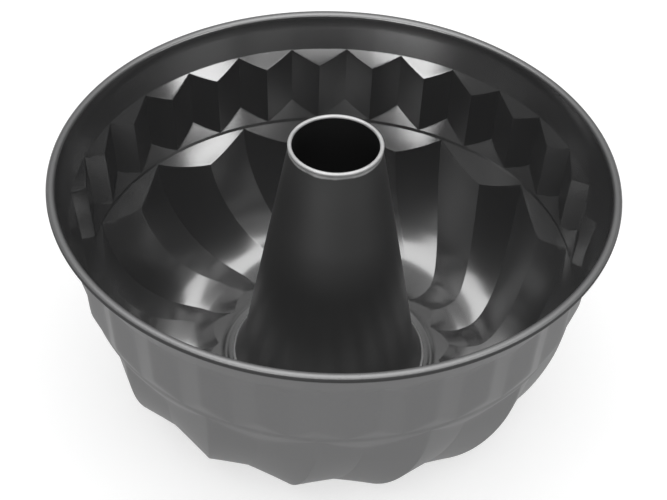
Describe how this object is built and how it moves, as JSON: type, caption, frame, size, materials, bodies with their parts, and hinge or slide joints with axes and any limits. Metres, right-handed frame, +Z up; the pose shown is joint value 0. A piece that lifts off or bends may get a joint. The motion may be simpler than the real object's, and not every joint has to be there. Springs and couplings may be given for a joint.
{
  "type": "cake pan",
  "caption": "Fluted ring-cake pan of pressed steel with a rolled rim, straight flutes above swirled ones, and a tapered open centre tube clinched through the floor.",
  "frame": {"origin": "on the tube's axis, in the plane the lobes of the bowl stand on", "axes": "+Z up along the centre tube, +X and +Y in the standing plane"},
  "size_m": [0.22, 0.22, 0.1135],
  "materials": {
    "bowl": "glossy dark non-stick inside, satin grey outside",
    "centre_tube": "glossy dark non-stick",
    "rim_wire": "plain drawn wire"
  },
  "bodies": {
    "root": {"bowl": "bowl", "centre_tube": "centre_tube", "rim_wire": "rim_wire"}
  },
  "joints": []
}
